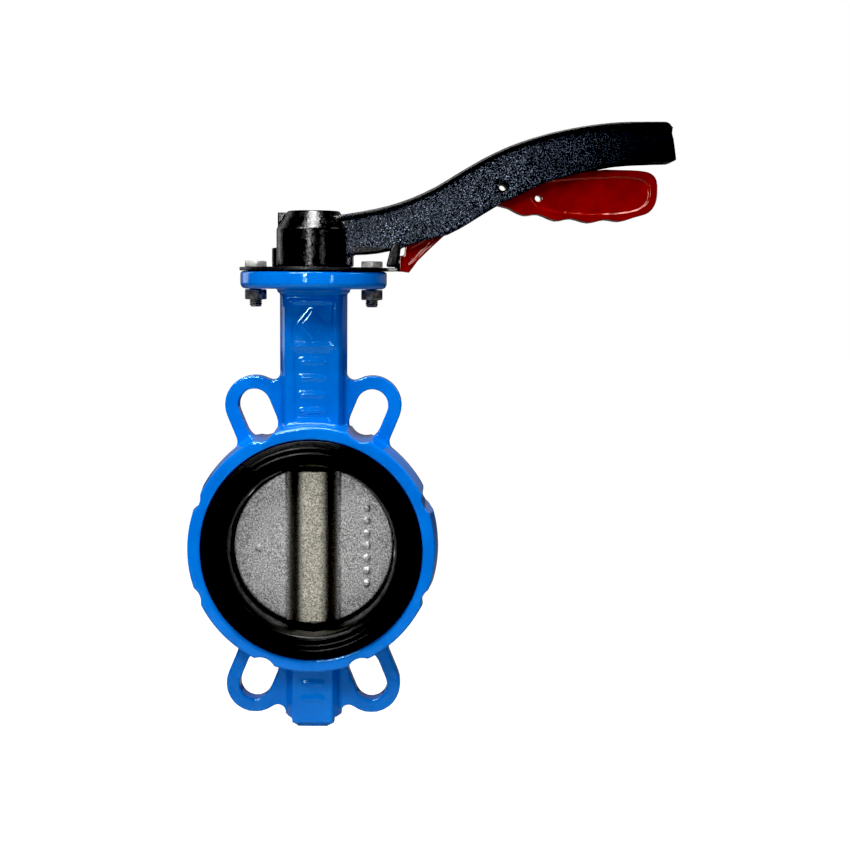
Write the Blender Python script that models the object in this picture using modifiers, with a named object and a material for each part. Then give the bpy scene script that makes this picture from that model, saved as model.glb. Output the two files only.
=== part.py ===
"""Wafer butterfly valve, nominal bore 100 mm, with a notched-plate lever. Modelled closed.

Run with: blender --background --python part.py

Frame: the origin is the bore's centre on the stem's axis, +Z runs up the stem, +Y along the
pipe, and +X along the lever when the valve is closed. Sizes here are in millimetres, and the
helpers turn them into metres.
"""
import math

import bmesh
import bpy
from mathutils import Matrix

MM = 0.001
GAP = 0.3                   # clearance between touching pieces

# Body ring and seat
BODY_HALF = 24.5            # half the casting's width along the pipe
RING_RADIUS = 79.2
RING_FACE_RADIUS = 77.0     # the ring tapers to this at its faces
BORE_HOUSING = 60.0
RECESS_RADIUS = 69.1        # shallow recess in each face for the seat's lip
RECESS_FLOOR = 20.9
SEAT_HALF = 26.0            # half the face-to-face length
SEAT_LIP_RADIUS = 68.8
BORE_RADIUS = 51.8
STEM_LAND = 49.2            # flat land inside the seat around each stem hole
STEM_LAND_RADIUS = 16.1

# Ears and flange-bolt slots
EAR_ANGLE = math.radians(22.5)
EAR_RADIUS = 18.5
EAR_HALF = 6.1
SLOT_OUTER = 96.7           # distance from the bore's centre to the slot's outer end centre
SLOT_INNER = 84.3
SLOT_HALF_WIDTH = 10.1

# Neck, top flange and bottom boss
NECK_HALF = 21.0
NECK_DEPTH = 14.0
NECK_FACE = 16.4            # half the width of the neck's flat front, between its slanted corners
NECK_FLARE = 1.6            # how much the neck widens just under the flange
FRAME_RELIEF = 0.8          # how far the raised frame and the boss's panel stand proud
POCKET_DEPTH = 0.8
BOSS_HALF = 18.0
BOSS_DEPTH = 13.0
BOSS_FACE = 13.2
BOSS_SHOULDER = -109.8
BOSS_BOTTOM = -115.8
COLUMN_ROOT = 56.0          # neck and boss start inside the ring, at this distance from the origin
FLANGE_RADIUS = 45.8
FLANGE_LOW = 161.9
FLANGE_TOP = 172.9
FLANGE_BOLT_RADIUS = 36.4   # the bolts' distance from the stem's axis
FLANGE_HOLE = 4.5
STEM_BORE = 10.5
PLUG_BORE = 8.3

# Hex bolts through the flange (M8) and the screw that holds the lever (M6)
HEX_FLATS = 13.0
BOLT_SHANK = 4.0
BOLT_TIP = 150.7
BOLT_HEAD_TOP = 179.3
NUT_LOW = 155.2
SCREW_SHANK = 3.0
SCREW_HEAD = 5.0
WASHER_LOW = 203.9
WASHER_TOP = 205.4
SCREW_TOP = 209.7

# Disc and stem
DISC_RADIUS = 51.5
DISC_FLAT = 48.9            # half the height of the disc's hub, between its flat ends
STEM_RADIUS = 7.9
STEM_SQUARE = 11.0
STEM_TOP = 202.0

# Notched plate
PLATE_LOW = FLANGE_TOP + GAP
PLATE_TOP = 175.3
PLATE_RADIUS = 46.2
TOOTH_RADIUS = 53.0
NOTCH_FLOOR = 48.8
NOTCH_HALF_WIDTH = 2.5
NOTCH_PITCH = 15.0          # degrees between the lever's positions
SQUARE_LOW = PLATE_TOP      # the stem's drive square starts level with the plate's top

# Lever and trigger
HUB_RADIUS = 23.2
HUB_LOW = PLATE_TOP + GAP
HUB_SHOULDER = 199.0
HUB_TOP = 210.2
HUB_TOP_RADIUS = 16.0
LEVER_HALF = 11.5
LIP_HALF = 12.4
CHANNEL_HALF = 7.5
TRIGGER_HALF = 7.1
PIVOT = (117.3, 225.2)      # the trigger's pin, x and z
PIN_RADIUS = 3.1
PIN_BORE = 2.2
PANEL_DEPTH = 0.9           # the finger grip's sides are recessed by this

# Colour, roughness and metallic value of each finish
FINISHES = {
    "blue_epoxy": ((0.005, 0.17, 0.83), 0.25, 0.0),
    "seat_rubber": ((0.012, 0.012, 0.013), 0.55, 0.0),
    "disc_metal": ((0.42, 0.42, 0.41), 0.45, 1.0),
    "steel": ((0.5, 0.49, 0.47), 0.35, 1.0),
    "black_paint": ((0.012, 0.012, 0.014), 0.4, 0.0),
    "red_paint": ((0.33, 0.008, 0.004), 0.25, 0.0),
    "zinc": ((0.62, 0.6, 0.54), 0.4, 1.0),
    "bush_polymer": ((0.75, 0.73, 0.66), 0.5, 0.0),
}


# ---------------------------------------------------------------- helpers

def clear_scene():
    for old in list(bpy.data.objects):
        bpy.data.objects.remove(old)


def new_collection(name):
    collection = bpy.data.collections.new(name)
    bpy.context.scene.collection.children.link(collection)
    return collection


def finish_material(name, finish):
    colour, roughness, metallic = FINISHES[finish]
    material = bpy.data.materials.new(name)
    material.use_nodes = True
    shader = material.node_tree.nodes["Principled BSDF"]
    shader.inputs["Base Color"].default_value = (*colour, 1.0)
    shader.inputs["Roughness"].default_value = roughness
    shader.inputs["Metallic"].default_value = metallic
    material.diffuse_color = (*colour, 1.0)
    return material


def from_bmesh(name, shape):
    mesh = bpy.data.meshes.new(name)
    shape.to_mesh(mesh)
    shape.free()
    mesh.shade_smooth()
    mesh.set_sharp_from_angle(angle=math.radians(35))
    piece = bpy.data.objects.new(name, mesh)
    helpers.objects.link(piece)
    return piece


def arc(centre, radius, start, end, steps):
    """Points on an arc, angles in degrees, both ends included."""
    angles = [math.radians(start + (end - start) * step / steps) for step in range(steps + 1)]
    return [(centre[0] + radius * math.cos(a), centre[1] + radius * math.sin(a)) for a in angles]


def circle(centre, radius, steps=32):
    """Round outline, turned a little so that no corner lies on a neighbour's seam."""
    return arc(centre, radius, 5.0, 365.0, steps)[:-1]


def smooth(points, per_span=3):
    """A curve through hand-set points (Catmull-Rom), with a few points in each span."""
    curve = []
    for index in range(len(points) - 1):
        before = points[max(index - 1, 0)]
        start, end = points[index], points[index + 1]
        after = points[min(index + 2, len(points) - 1)]
        for step in range(per_span):
            t = step / per_span
            curve.append(tuple(
                0.5 * (2 * p1 + (p2 - p0) * t + (2 * p0 - 5 * p1 + 4 * p2 - p3) * t * t
                       + (3 * p1 - p0 - 3 * p2 + p3) * t ** 3)
                for p0, p1, p2, p3 in zip(before, start, end, after)))
    return curve + [points[-1]]


def slab(name, outlines, low, high, facing="Z"):
    """Flat piece between two levels. Facing "Y", its outlines are (x, z); facing "Z", (x, y)."""
    curve = bpy.data.curves.new(name, "CURVE")
    curve.dimensions = "2D"
    curve.fill_mode = "BOTH"
    curve.extrude = 0.5 * (high - low) * MM
    for outline in outlines:
        spline = curve.splines.new("POLY")
        spline.points.add(len(outline) - 1)
        for point, (across, up) in zip(spline.points, outline):
            point.co = (across * MM, up * MM, 0.0, 1.0)
        spline.use_cyclic_u = True
    guide = bpy.data.objects.new(name + "_outline", curve)
    helpers.objects.link(guide)
    flat = bpy.data.meshes.new_from_object(guide.evaluated_get(bpy.context.evaluated_depsgraph_get()))
    bpy.data.objects.remove(guide)
    shape = bmesh.new()
    shape.from_mesh(flat)
    bmesh.ops.remove_doubles(shape, verts=shape.verts, dist=0.002 * MM)
    bmesh.ops.recalc_face_normals(shape, faces=shape.faces)
    piece = from_bmesh(name, shape)
    middle = 0.5 * (low + high) * MM
    if facing == "Y":
        piece.rotation_euler = (math.pi / 2, 0.0, 0.0)
        piece.location = (0.0, middle, 0.0)
    else:
        piece.location = (0.0, 0.0, middle)
    return piece


def turned(name, profile, steps=48, along="Z", closed=True):
    """Solid of revolution from (radius, height) points, down the outer side and up the inner."""
    shape = bmesh.new()
    corners = [shape.verts.new((radius * MM, 0.0, height * MM)) for radius, height in profile]
    for start, end in zip(corners, corners[1:]):
        shape.edges.new((start, end))
    if closed:
        shape.edges.new((corners[-1], corners[0]))
    piece = from_bmesh(name, shape)
    turn = piece.modifiers.new("turn", "SCREW")
    turn.steps = steps
    turn.render_steps = steps
    turn.use_merge_vertices = True
    turn.merge_threshold = 0.002 * MM
    if along == "Y":
        piece.rotation_euler = (-math.pi / 2, 0.0, 0.0)
    return piece


def rod(name, radius, low, high, sides=32, x=0.0, y=0.0, z=None, along="Z"):
    """Cylinder from low to high along Z, or along Y when z is given."""
    shape = bmesh.new()
    bmesh.ops.create_cone(shape, cap_ends=True, segments=sides, radius1=radius * MM,
                          radius2=radius * MM, depth=(high - low) * MM)
    piece = from_bmesh(name, shape)
    middle = 0.5 * (low + high)
    if along == "Y":
        piece.rotation_euler = (math.pi / 2, 0.0, 0.0)
        piece.location = (x * MM, middle * MM, z * MM)
    else:
        piece.location = (x * MM, y * MM, middle * MM)
    return piece


def ring(name, inner, outer, low, high, steps=32):
    return turned(name, [(outer, high), (outer, low), (inner, low), (inner, high)], steps)


def box(name, low, high):
    shape = bmesh.new()
    bmesh.ops.create_cube(shape, size=1.0)
    size = Matrix.Diagonal([(b - a) * MM for a, b in zip(low, high)])
    bmesh.ops.transform(shape, matrix=size.to_4x4(), verts=shape.verts)
    piece = from_bmesh(name, shape)
    piece.location = [0.5 * (a + b) * MM for a, b in zip(low, high)]
    return piece


def combine(target, operation, *others):
    """Boolean of the target with each helper, which stays out of the finished valve."""
    for other in others:
        boolean = target.modifiers.new(other.name, "BOOLEAN")
        boolean.operation = operation
        boolean.solver = "EXACT"
        boolean.object = other
        other.hide_render = True
        other.display_type = "WIRE"


def finished(piece, finish, axis=None):
    """Move a piece into the valve's collection, give it its material, and hang it on its axis."""
    helpers.objects.unlink(piece)
    valve.objects.link(piece)
    piece.data.materials.append(finish_material(piece.name, finish))
    if axis is not None:
        bpy.context.view_layer.update()
        piece.parent = axis
        piece.matrix_parent_inverse = axis.matrix_world.inverted()
    return piece


def axis_empty(name, x=0.0, z=0.0):
    empty = bpy.data.objects.new(name, None)
    empty.location = (x * MM, 0.0, z * MM)
    valve.objects.link(empty)
    bpy.context.view_layer.update()
    return empty


# ---------------------------------------------------------------- casting

def polar(angle, radial, tangential=0.0):
    """Point in an ear's own directions: radial outward, tangential away from the stem."""
    return (radial * math.sin(angle) + tangential * math.cos(angle),
            radial * math.cos(angle) - tangential * math.sin(angle))


def ear_edge(column_half):
    """Edge of the upper right ear, from the side of the neck or boss round to the ring.

    Both ends of the edge run a little way into the neighbouring solid.
    """
    column_half -= 0.4
    ear = polar(EAR_ANGLE, SLOT_OUTER)
    neck_fillet = 5.0
    reach = EAR_RADIUS + neck_fillet
    fillet_x = column_half + neck_fillet
    fillet = (fillet_x, ear[1] + math.sqrt(reach ** 2 - (ear[0] - fillet_x) ** 2))
    meeting = math.degrees(math.atan2(fillet[1] - ear[1], fillet[0] - ear[0]))
    points = arc(fillet, neck_fillet, 180.0, 180.0 + meeting, 5)
    points += arc(ear, EAR_RADIUS, meeting, -math.degrees(EAR_ANGLE), 12)[1:]
    ring_fillet = 7.0
    side = EAR_RADIUS + ring_fillet
    depth = math.sqrt((RING_RADIUS - 0.5 + ring_fillet) ** 2 - side ** 2)
    centre = polar(EAR_ANGLE, depth, side)
    start = 180.0 - math.degrees(EAR_ANGLE)
    end = 180.0 + math.degrees(math.atan2(centre[1], centre[0]))
    return points + arc(centre, ring_fillet, start, end, 5)


def ears():
    """One web for all four ears, hidden inside the ring, neck and boss where it crosses them."""
    top = ear_edge(NECK_HALF)
    bottom = [(x, -z) for x, z in reversed(ear_edge(BOSS_HALF))]
    inside = [(72.0, 25.0), (72.0, -25.0)]
    right = top + inside + bottom
    left = [(-x, z) for x, z in reversed(right)]
    return slab("ears", [right + left], -EAR_HALF, EAR_HALF, "Y")


def column(name, half, depth, face_half, low, high):
    """Neck or boss: widest at the middle plane, with slanted sides to narrower faces."""
    corner = [(half, 3.0), (half - 2.4, depth - 3.5), (face_half, depth)]
    quarter = corner + [(-x, y) for x, y in reversed(corner)]
    return slab(name, [quarter + [(-x, -y) for x, y in quarter]], low, high)


def stadium(angle, inner, outer, half_width):
    """Outline of a radial slot at an angle from the stem, measured towards +X."""
    turn = 90.0 - math.degrees(angle)
    far = arc(polar(angle, outer), half_width, turn - 90.0, turn + 90.0, 10)
    near = arc(polar(angle, inner), half_width, turn + 90.0, turn + 270.0, 10)
    return far + near


def bolt_openings():
    """Four slots in the ears, and four scallops in the ring for the other flange bolts."""
    outlines = []
    for side in (1, -1):
        for base in (0.0, math.pi):
            outlines.append(stadium(base + side * EAR_ANGLE, SLOT_INNER, SLOT_OUTER, SLOT_HALF_WIDTH))
            quarter = base + side * (math.pi / 2 - EAR_ANGLE)
            outlines.append(circle(polar(quarter, SLOT_INNER + 1.0), SLOT_HALF_WIDTH, 24))
    return slab("bolt_openings", outlines, -30.0, 30.0, "Y")


def rectangle(half, low, high):
    """Outline as wide as half to each side of the stem, between two heights."""
    return [(-half, low), (half, low), (half, high), (-half, high)]


def valve_body():
    body = turned("valve_body", [
        (RING_FACE_RADIUS, BODY_HALF), (RING_RADIUS, 5.0), (RING_RADIUS, -5.0),
        (RING_FACE_RADIUS, -BODY_HALF), (RECESS_RADIUS, -BODY_HALF), (RECESS_RADIUS, -RECESS_FLOOR),
        (BORE_HOUSING - 2.0, -RECESS_FLOOR), (BORE_HOUSING - 2.0, RECESS_FLOOR),
        (RECESS_RADIUS, RECESS_FLOOR), (RECESS_RADIUS, BODY_HALF)], 120, "Y")
    flange = turned("top_flange", [
        (0.0, FLANGE_TOP), (FLANGE_RADIUS - 1.2, FLANGE_TOP), (FLANGE_RADIUS, FLANGE_TOP - 1.2),
        (FLANGE_RADIUS, FLANGE_LOW + 3.0), (FLANGE_RADIUS - 0.9, FLANGE_LOW + 0.9),
        (FLANGE_RADIUS - 3.0, FLANGE_LOW), (0.0, FLANGE_LOW)], 96, closed=False)
    combine(body, "UNION", ears(),
            column("neck", NECK_HALF, NECK_DEPTH, NECK_FACE, COLUMN_ROOT, FLANGE_LOW + 2.0),
            column("neck_flare", NECK_HALF + NECK_FLARE, NECK_DEPTH + NECK_FLARE,
                   NECK_FACE + 0.75 * NECK_FLARE, FLANGE_LOW - 2.2, FLANGE_LOW + 1.0),
            flange,
            column("boss", BOSS_HALF, BOSS_DEPTH, BOSS_FACE, BOSS_SHOULDER, -COLUMN_ROOT),
            column("boss_end", 13.4, 10.5, 9.5, BOSS_BOTTOM, BOSS_SHOULDER + 1.0))
    for side, sign in (("front", -1.0), ("back", 1.0)):
        near, far = sorted((sign * (NECK_DEPTH - 1.0), sign * (NECK_DEPTH + FRAME_RELIEF)))
        frame = slab(side + "_frame", [rectangle(14.6, 126.0, 155.0), rectangle(13.0, 127.6, 153.4)],
                     near, far, "Y")
        near, far = sorted((sign * (BOSS_DEPTH - 1.0), sign * (BOSS_DEPTH + FRAME_RELIEF)))
        panel = slab(side + "_panel", [rectangle(12.9, BOSS_SHOULDER - 3.0, -73.0)], near, far, "Y")
        combine(body, "UNION", frame, panel)
        near, far = sorted((sign * (NECK_DEPTH - POCKET_DEPTH), sign * (NECK_DEPTH + 3.0)))
        pocket = slab(side + "_pocket", [rectangle(11.5, 80.5, 123.5)], near, far, "Y")
        combine(body, "DIFFERENCE", pocket)
    flange_holes = slab("flange_holes", [
        circle((FLANGE_BOLT_RADIUS * x, FLANGE_BOLT_RADIUS * y), FLANGE_HOLE, 20)
        for x, y in ((1, 0), (0, 1), (-1, 0), (0, -1))], FLANGE_LOW - 5.0, FLANGE_TOP + 5.0)
    combine(body, "DIFFERENCE",
            rod("housing", BORE_HOUSING, -30.0, 30.0, 100, z=0.0, along="Y"), bolt_openings(),
            flange_holes,
            rod("upper_bore", STEM_BORE, 40.0, FLANGE_TOP + 5.0),
            rod("lower_bore", STEM_BORE, -96.0, -40.0),
            rod("plug_bore", PLUG_BORE, BOSS_BOTTOM - 5.0, -90.0),
            ring("ring_groove", 9.0, 11.7, 168.3, 170.4))
    finished(body, "blue_epoxy")


def seat_liner():
    seat = turned("seat_liner", [
        (SEAT_LIP_RADIUS - 1.2, SEAT_HALF), (SEAT_LIP_RADIUS, SEAT_HALF - 1.2),
        (SEAT_LIP_RADIUS, RECESS_FLOOR + GAP), (BORE_HOUSING - GAP, RECESS_FLOOR + GAP),
        (BORE_HOUSING - GAP, -RECESS_FLOOR - GAP), (SEAT_LIP_RADIUS, -RECESS_FLOOR - GAP),
        (SEAT_LIP_RADIUS, 1.2 - SEAT_HALF), (SEAT_LIP_RADIUS - 1.2, -SEAT_HALF),
        (55.8, -SEAT_HALF), (54.2, -25.2), (52.8, -22.5), (BORE_RADIUS, -18.0),
        (BORE_RADIUS, 18.0), (52.8, 22.5), (54.2, 25.2), (55.8, SEAT_HALF)], 72, "Y")
    for name, low, high in (("upper", STEM_LAND, 56.0), ("lower", -56.0, -STEM_LAND)):
        combine(seat, "UNION", rod(name + "_land", STEM_LAND_RADIUS, low, high, 40))
    for name, low, high in (("upper", 40.0, 65.0), ("lower", -65.0, -40.0)):
        combine(seat, "DIFFERENCE", rod(name + "_hole", STEM_RADIUS + GAP, low, high))
    finished(seat, "seat_rubber")


def stem_fittings():
    """Bushes, O-rings, washer and retaining ring in the neck, and the bottom bush, seal and plug."""
    inner = STEM_RADIUS + GAP
    outer = STEM_BORE - GAP
    finished(ring("lower_neck_bush", inner, outer, 61.0, 88.0), "bush_polymer")
    finished(ring("upper_neck_bush", inner, outer, 146.0, 166.0), "bush_polymer")
    finished(ring("bottom_bush", inner, outer, -91.0, -61.0), "bush_polymer")
    finished(ring("thrust_washer", inner, outer, 166.3, 168.0), "steel")
    for name, height in (("lower_o_ring", 92.0), ("upper_o_ring", 142.0)):
        section = [(9.2 + r, height + h) for r, h in reversed(circle((0.0, 0.0), 1.0, 8))]
        finished(turned(name, section, 32), "seat_rubber")
    outline = arc((0.0, 0.0), 11.4, 110.0, 430.0, 32) + arc((0.0, 0.0), 8.6, 430.0, 110.0, 32)
    finished(slab("retaining_ring", [outline], 168.6, 170.1), "steel")
    finished(ring("plug_seal", 4.0, outer, -95.7, -94.2), "seat_rubber")
    plug_low = BOSS_BOTTOM + 0.7
    plug = rod("bottom_plug", PLUG_BORE - GAP, plug_low, -96.3)
    combine(plug, "DIFFERENCE", rod("plug_socket", 3.5, plug_low - 5.0, plug_low + 6.4, 6))
    finished(plug, "steel")


# ---------------------------------------------------------------- top flange fittings

def notch_plate():
    """Round plate with a toothed sector from +X to +Y: one notch for each lever position."""
    positions = int(90.0 / NOTCH_PITCH) + 1
    margin = 9.0
    outline = arc((0.0, 0.0), PLATE_RADIUS, 90.0 + margin, 360.0 - margin, 40)
    half_notch = math.degrees(NOTCH_HALF_WIDTH / TOOTH_RADIUS)
    floor_half = math.degrees(NOTCH_HALF_WIDTH / NOTCH_FLOOR)
    edge = -margin
    for position in range(positions):
        notch = position * NOTCH_PITCH
        outline += arc((0.0, 0.0), TOOTH_RADIUS, edge, notch - half_notch, 3)
        outline += arc((0.0, 0.0), NOTCH_FLOOR, notch - floor_half, notch + floor_half, 1)
        edge = notch + half_notch
    outline += arc((0.0, 0.0), TOOTH_RADIUS, edge, 90.0 + margin, 3)
    holes = [circle((0.0, 0.0), 12.5)]
    holes += [circle((x, 0.0), FLANGE_HOLE, 20) for x in (-FLANGE_BOLT_RADIUS, FLANGE_BOLT_RADIUS)]
    finished(slab("notch_plate", [outline] + holes, PLATE_LOW, PLATE_TOP), "black_paint")


def flange_fasteners():
    """Two hex bolts through plate and flange, each with a nut below."""
    hex_corner = HEX_FLATS / math.sqrt(3.0)
    for side, x in (("left", -FLANGE_BOLT_RADIUS), ("right", FLANGE_BOLT_RADIUS)):
        bolt = rod("flange_bolt_" + side, hex_corner, PLATE_TOP + GAP, BOLT_HEAD_TOP, 6, x=x)
        shank = rod("bolt_shank_" + side, BOLT_SHANK, BOLT_TIP, PLATE_TOP + 1.0, 20, x=x)
        combine(bolt, "UNION", shank)
        finished(bolt, "zinc")
        nut = rod("flange_nut_" + side, hex_corner, NUT_LOW, FLANGE_LOW - GAP, 6, x=x)
        thread = rod("nut_thread_" + side, BOLT_SHANK + GAP, NUT_LOW - 5.0, FLANGE_LOW + 3.0, 20, x=x)
        combine(nut, "DIFFERENCE", thread)
        finished(nut, "zinc")


# ---------------------------------------------------------------- disc and stems

def disc(axis):
    plate = turned("disc", [
        (0.0, 6.6), (40.0, 5.6), (50.0, 5.0), (DISC_RADIUS, 3.0), (DISC_RADIUS, -3.0),
        (50.0, -5.0), (40.0, -5.6), (0.0, -6.6)], 72, "Y", closed=False)
    hump = [(17.4, 2.0), (16.9, 6.3), (13.4, 6.9), (11.2, 8.4), (9.9, 10.2), (8.2, 11.3), (4.6, 12.1)]
    half = hump + [(-x, y) for x, y in reversed(hump)]
    hub_end = DISC_FLAT - 0.7
    hub = slab("disc_hub", [half + [(-x, -y) for x, y in half]], -hub_end, hub_end)
    combine(plate, "UNION", hub)
    combine(plate, "DIFFERENCE",
            box("disc_top_flat", (-20.0, -20.0, DISC_FLAT), (20.0, 20.0, 60.0)),
            box("disc_bottom_flat", (-20.0, -20.0, -60.0), (20.0, 20.0, -DISC_FLAT)),
            rod("upper_socket", STEM_RADIUS + GAP, 34.0, 60.0),
            rod("lower_socket", STEM_RADIUS + GAP, -60.0, -24.0),
            square_bar("drive_socket", STEM_SQUARE + 2 * GAP, 13.7, 40.0))
    finished(plate, "disc_metal", axis)


def square_bar(name, width, low, high):
    half = 0.5 * width
    return box(name, (-half, -half, low), (half, half, high))


def stems(axis):
    upper = rod("upper_stem", STEM_RADIUS, 34.3, SQUARE_LOW)
    combine(upper, "UNION", square_bar("disc_square", STEM_SQUARE, 14.0, 40.0),
            square_bar("lever_square", STEM_SQUARE, SQUARE_LOW - 5.0, STEM_TOP))
    combine(upper, "DIFFERENCE", rod("stem_tapping", SCREW_SHANK + GAP, 189.0, STEM_TOP + 5.0, 20))
    finished(upper, "steel", axis)
    finished(rod("lower_stem", STEM_RADIUS, -93.6, -24.3), "steel", axis)


# ---------------------------------------------------------------- lever

def lever_top():
    """Upper line of the lever's side, from the hub to its rounded end."""
    rise = [(10.0, 206.5), (31.8, 210.0), (46.6, 213.3), (61.4, 218.3), (76.0, 225.1),
            (91.0, 234.3), (105.5, 242.6), (120.0, 249.6), (135.0, 255.0), (150.0, 259.1),
            (165.0, 262.2), (180.0, 264.3), (195.0, 265.3), (214.0, 265.5)]
    return smooth(rise, 2) + arc((216.0, 260.5), 5.0, 80.0, 15.0, 4)


def lever_bottom():
    """Lower line of the lever's side, from its end back to the hub."""
    fall = [(220.6, 241.2), (202.0, 240.5), (186.0, 239.2), (171.0, 235.8), (157.0, 232.2),
            (142.0, 227.6), (127.0, 220.3), (113.0, 213.6), (98.0, 204.2), (84.0, 196.5),
            (69.0, 192.3), (54.0, 187.6), (39.0, 184.3), (25.0, 183.3), (10.0, 183.3)]
    return smooth(fall, 2)


def dropped(points, depth):
    return [(x, z - depth) for x, z in points]


def lever(axis):
    hub = turned("lever", [
        (0.0, HUB_TOP), (HUB_TOP_RADIUS, HUB_TOP), (HUB_RADIUS, HUB_SHOULDER),
        (HUB_RADIUS, HUB_LOW), (0.0, HUB_LOW)], 96, closed=False)
    side = dropped(lever_top()[:-2], 1.0) + [(221.9, 255.0), (223.8, 242.4)] + lever_bottom()
    arm = slab("lever_arm", [side], -LEVER_HALF, LEVER_HALF, "Y")
    lip_line = lever_top()
    lip = slab("lever_lip", [lip_line + dropped(reversed(lip_line), 3.2)], -LIP_HALF, LIP_HALF, "Y")
    roof = [(x, z - 4.6) for x, z in lever_top() if 44.0 < x < 210.0]
    roof = [(48.5, 205.0)] + roof[1:] + [(217.8, 259.0), (218.4, 236.0)]
    below = [(150.0, 215.0), (100.0, 195.0), (48.5, 180.0)]
    channel = slab("lever_channel", [roof + below], -CHANNEL_HALF, CHANNEL_HALF, "Y")
    combine(hub, "UNION", arm, lip,
            box("foot", (14.0, -LEVER_HALF + 0.4, HUB_LOW + 0.5), (24.5, LEVER_HALF - 0.4, 186.0)),
            rod("stop_lug", 6.0, HUB_LOW, 187.5, 20, x=-20.8, y=6.0),
            box("pointer", (-22.9, 3.0, 195.0), (-8.0, 14.0, 209.6)))
    combine(hub, "DIFFERENCE", channel)
    tab = [(50.6, 191.0), (47.6, 184.7), (45.8, 177.4), (45.8, 175.9), (52.6, 175.9), (53.6, 182.2),
           (54.6, 191.0)]
    tab_inner = CHANNEL_HALF + 0.3
    tab_outer = LEVER_HALF + 0.4
    for name, low, high in (("front_tab", -tab_outer, -tab_inner), ("back_tab", tab_inner, tab_outer)):
        combine(hub, "UNION", slab(name, [tab], low, high, "Y"))
    combine(hub, "DIFFERENCE",
            square_bar("lever_socket", STEM_SQUARE + 2 * GAP, 170.0, STEM_TOP + GAP),
            rod("screw_hole", SCREW_SHANK + GAP, 195.0, 206.0, 20),
            rod("screw_counterbore", 7.4, WASHER_LOW - GAP, 215.0),
            rod("pin_hole", PIN_RADIUS + GAP, -20.0, 20.0, 24, x=PIVOT[0], z=PIVOT[1], along="Y"))
    finished(hub, "black_paint", axis)


def lever_screw(axis):
    """Socket screw into the stem's end, with its washer, in the hub's counterbore."""
    finished(ring("lever_washer", SCREW_SHANK + GAP, 6.9, WASHER_LOW, WASHER_TOP), "zinc", axis)
    screw = rod("lever_screw", SCREW_HEAD, WASHER_TOP + GAP, SCREW_TOP, 24)
    combine(screw, "UNION", rod("screw_shank", SCREW_SHANK, 190.0, WASHER_TOP + 1.0, 20))
    combine(screw, "DIFFERENCE", rod("screw_socket", 2.9, 207.0, SCREW_TOP + 2.0, 6))
    finished(screw, "zinc", axis)


def trigger_pin(axis):
    """Hollow, slit roll pin through the lever's two sides."""
    pin = turned("trigger_pin", [
        (PIN_RADIUS, LEVER_HALF), (PIN_RADIUS, -LEVER_HALF), (PIN_BORE, -LEVER_HALF),
        (PIN_BORE, LEVER_HALF)], 24, "Y")
    pin.location = (PIVOT[0] * MM, 0.0, PIVOT[1] * MM)
    slit = box("pin_slit", (PIVOT[0] + 1.0, -20.0, PIVOT[1] - 0.4),
               (PIVOT[0] + 5.0, 20.0, PIVOT[1] + 0.4))
    combine(pin, "DIFFERENCE", slit)
    finished(pin, "black_paint", axis)


# ---------------------------------------------------------------- trigger

def trigger_outline():
    """Side of the trigger: nose at the plate, arm in the lever's channel, and finger grip."""
    nose = [(57.2, 191.0), (56.8, 183.2), (53.7, 182.7), (53.7, 173.2), (59.5, 172.4), (62.2, 175.9)]
    arm = smooth([(65.0, 179.8), (83.0, 197.0), (100.0, 208.5), (113.0, 214.6)], 2)
    grip = smooth([(121.0, 212.6), (130.5, 208.2), (139.5, 208.9), (150.5, 205.0), (160.0, 206.4),
                   (171.0, 203.9), (181.0, 205.9), (190.5, 204.9), (200.0, 207.6), (208.0, 210.3),
                   (212.3, 216.4), (213.2, 224.9), (211.8, 231.8), (206.5, 235.4), (196.0, 236.4)], 3)
    back = smooth([(180.0, 236.6), (156.0, 234.6), (136.0, 235.6), (118.0, 235.0), (104.0, 230.0),
                   (90.0, 218.5), (72.0, 203.5), (62.0, 195.5)], 2)
    return nose + arm + grip + back


def trigger(axis):
    piece = slab("trigger", [trigger_outline()], -TRIGGER_HALF, TRIGGER_HALF, "Y")
    tooth_side = [(49.6, 173.4), (54.5, 172.9), (54.5, 179.5), (52.4, 177.5), (49.6, 174.6)]
    tooth_half = NOTCH_HALF_WIDTH - 0.4
    tooth = slab("trigger_tooth", [tooth_side], -tooth_half, tooth_half, "Y")
    combine(piece, "UNION", tooth)
    combine(piece, "DIFFERENCE",
            box("spring_slot", (110.5, -3.5, 218.9), (134.5, 3.5, 245.0)),
            rod("trigger_bore", PIN_RADIUS + GAP, -20.0, 20.0, 24, x=PIVOT[0], z=PIVOT[1], along="Y"),
            rod("lanyard_hole", 2.0, -20.0, 20.0, 16, x=139.5, z=218.8, along="Y"))
    corners = [(134.0, 219.5), (138.5, 213.6), (150.0, 210.4), (170.0, 209.0), (190.0, 209.6),
               (202.0, 212.2), (207.6, 217.4), (208.4, 224.6), (205.0, 230.0), (196.0, 232.0),
               (176.0, 231.8), (152.0, 230.0), (139.0, 227.6)]
    panel = smooth(corners + corners[:1], 2)[:-1]
    nose_panel = [(59.0, 177.0), (61.5, 178.9), (81.0, 197.4), (77.5, 197.0), (60.6, 187.6), (59.0, 184.0)]
    floor = TRIGGER_HALF - PANEL_DEPTH
    for name, low, high in (("front", -10.0, -floor), ("back", floor, 10.0)):
        combine(piece, "DIFFERENCE", slab(name + "_panels", [panel, nose_panel], low, high, "Y"))
    finished(piece, "red_paint", axis)


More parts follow.
